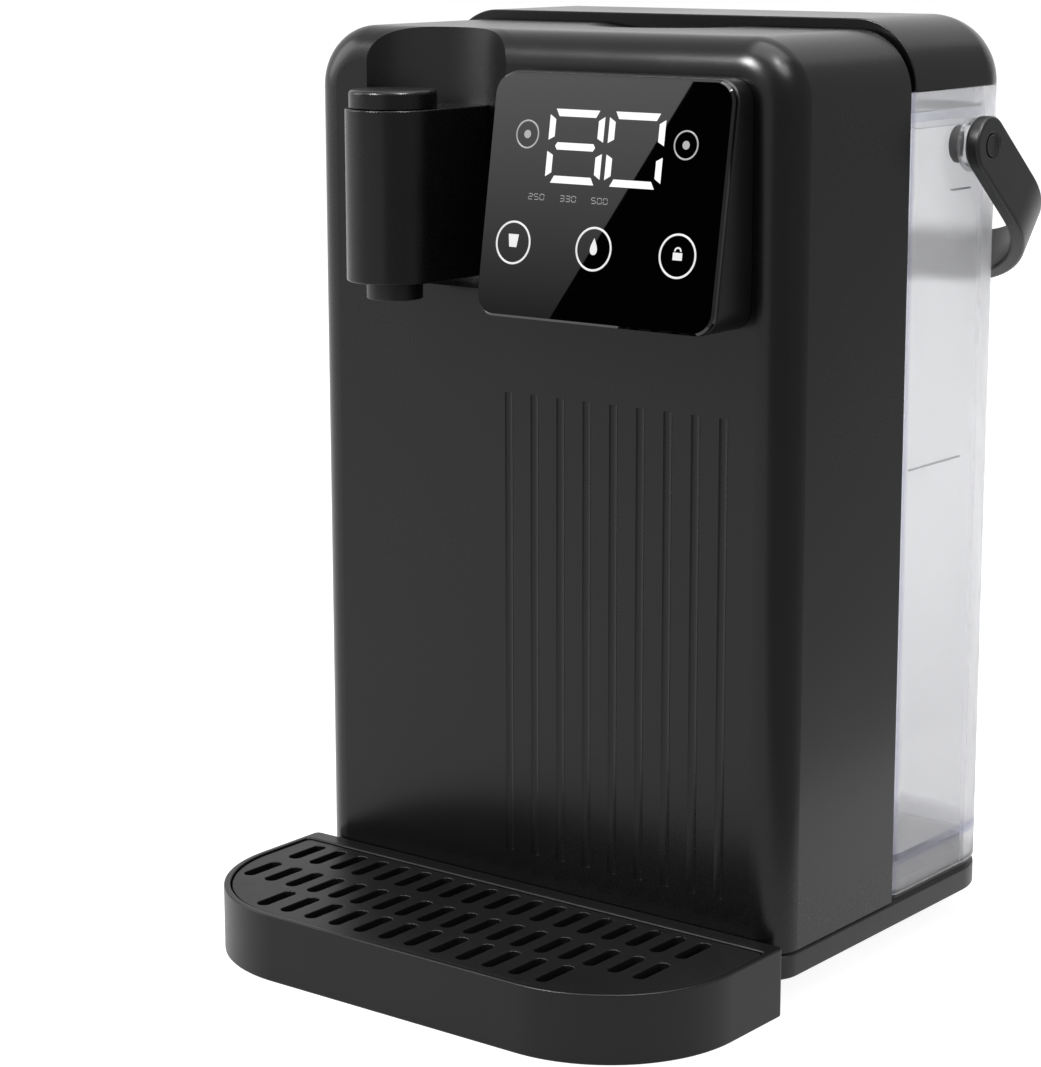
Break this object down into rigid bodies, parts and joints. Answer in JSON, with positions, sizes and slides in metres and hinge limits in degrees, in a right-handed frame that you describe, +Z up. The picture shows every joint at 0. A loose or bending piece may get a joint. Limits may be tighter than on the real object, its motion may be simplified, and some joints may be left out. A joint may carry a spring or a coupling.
{
  "type": "instant hot water dispenser",
  "caption": "Slim countertop hot water dispenser with a tilted touch display, a spout in an upright recess, a slotted drip tray and a clear lift-off tank with a bail handle.",
  "frame": {"origin": "middle of the whole object's box, at the table", "axes": "+X to the viewer's right when facing the spout and display, +Y from the front towards the tank, +Z up"},
  "size_m": [0.2142, 0.2336, 0.3045],
  "materials": {
    "shell_plastic": "satin dark grey, nearly black",
    "base_plastic": "satin black",
    "pod_plastic": "semi-gloss black",
    "touch_glass": "black glass with a bright bevel",
    "spout_plastic": "satin black",
    "nozzle_plastic": "satin black",
    "lit_numerals": "lit white",
    "circuit_board": "green lacquer",
    "screw_steel": "zinc plated",
    "foot_rubber": "matte dark rubber",
    "silicone": "milky silicone",
    "heater_steel": "drawn steel",
    "dark_nylon": "dark moulded nylon",
    "pale_nylon": "natural moulded nylon",
    "motor_steel": "plated can",
    "winding_tape": "yellow tape",
    "relay_plastic": "blue case",
    "sink_aluminium": "extruded",
    "terminal_plastic": "green case",
    "seal_rubber": "red silicone rubber",
    "lid_seal_rubber": "pale grey silicone rubber",
    "clear_plastic": "clear, slightly clouded",
    "spring_steel": "wire",
    "lid_plastic": "satin dark grey, nearly black",
    "handle_plastic": "matte black",
    "tray_plastic": "satin charcoal",
    "grille_plastic": "satin charcoal"
  },
  "bodies": {
    "housing": {"base_plate": "base_plastic", "rubber_feet": "foot_rubber", "tank_deck": "base_plastic", "front_shell": "shell_plastic", "rear_wall": "shell_plastic", "housing_screws": "screw_steel", "deck_screws": "screw_steel", "wall_screws": "screw_steel", "pod_screws": "screw_steel", "board_screws": "screw_steel", "control_pod": "pod_plastic", "display_glass": "touch_glass", "digit_module": "lit_numerals", "display_board": "circuit_board", "spout_housing": "spout_plastic", "spout_cap": "spout_plastic", "nozzle": "nozzle_plastic", "outlet_tube": "silicone", "heater_tube": "heater_steel", "heater_caps": "dark_nylon", "heater_brackets": "heater_steel", "thermal_cutout": "dark_nylon", "temperature_sensor": "pale_nylon", "pump_housing": "pale_nylon", "pump_motor": "motor_steel", "pump_saddle": "foot_rubber", "inlet_hose": "silicone", "pump_hose": "silicone", "power_board": "circuit_board", "transformer": "winding_tape", "relay": "relay_plastic", "heat_sink": "sink_aluminium", "terminal_block": "terminal_plastic", "cord_gland": "foot_rubber", "tank_dock": "base_plastic", "dock_seal": "seal_rubber"},
    "impeller": {"pump_impeller": "pale_nylon"},
    "tank": {"tank_shell": "clear_plastic", "pivot_bosses": "clear_plastic", "valve_body": "dark_nylon", "valve_strainer": "pale_nylon", "valve_spring": "spring_steel"},
    "poppet": {"valve_poppet": "seal_rubber"},
    "lid": {"tank_lid": "lid_plastic", "lid_insert": "clear_plastic", "lid_seal": "lid_seal_rubber"},
    "handle": {"carry_handle": "handle_plastic"},
    "tray": {"drip_tray": "tray_plastic"},
    "grille": {"tray_grille": "grille_plastic"}
  },
  "joints": [
    {"name": "tank_lift", "type": "slide", "parent": "housing", "child": "tank", "axis": [0, 0, 1], "range_m": [0, 0.3]},
    {"name": "lid_lift", "type": "slide", "parent": "tank", "child": "lid", "axis": [0, 0, 1], "range_m": [0, 0.08]},
    {"name": "handle_swing", "type": "hinge", "parent": "tank", "child": "handle", "pos_m": [0, 0.05769, 0.2645], "axis": [1, 0, 0], "range_deg": [0, 172]},
    {"name": "valve_close", "type": "slide", "parent": "tank", "child": "poppet", "axis": [0, 0, 1], "range_m": [-0.003, 0], "deforming": ["valve_spring"]},
    {"name": "tray_pull", "type": "slide", "parent": "housing", "child": "tray", "axis": [0, -1, 0], "range_m": [0, 0.09]},
    {"name": "grille_lift", "type": "slide", "parent": "tray", "child": "grille", "axis": [0, 0, 1], "range_m": [0, 0.06]},
    {"name": "impeller_spin", "type": "hinge", "parent": "housing", "child": "impeller", "pos_m": [0.052, -0.00481, 0.044], "axis": [1, 0, 0], "continuous": true}
  ],
  "couplings": [
    {"joint": "valve_close", "follows": "tank_lift", "ratio": -0.01}
  ]
}
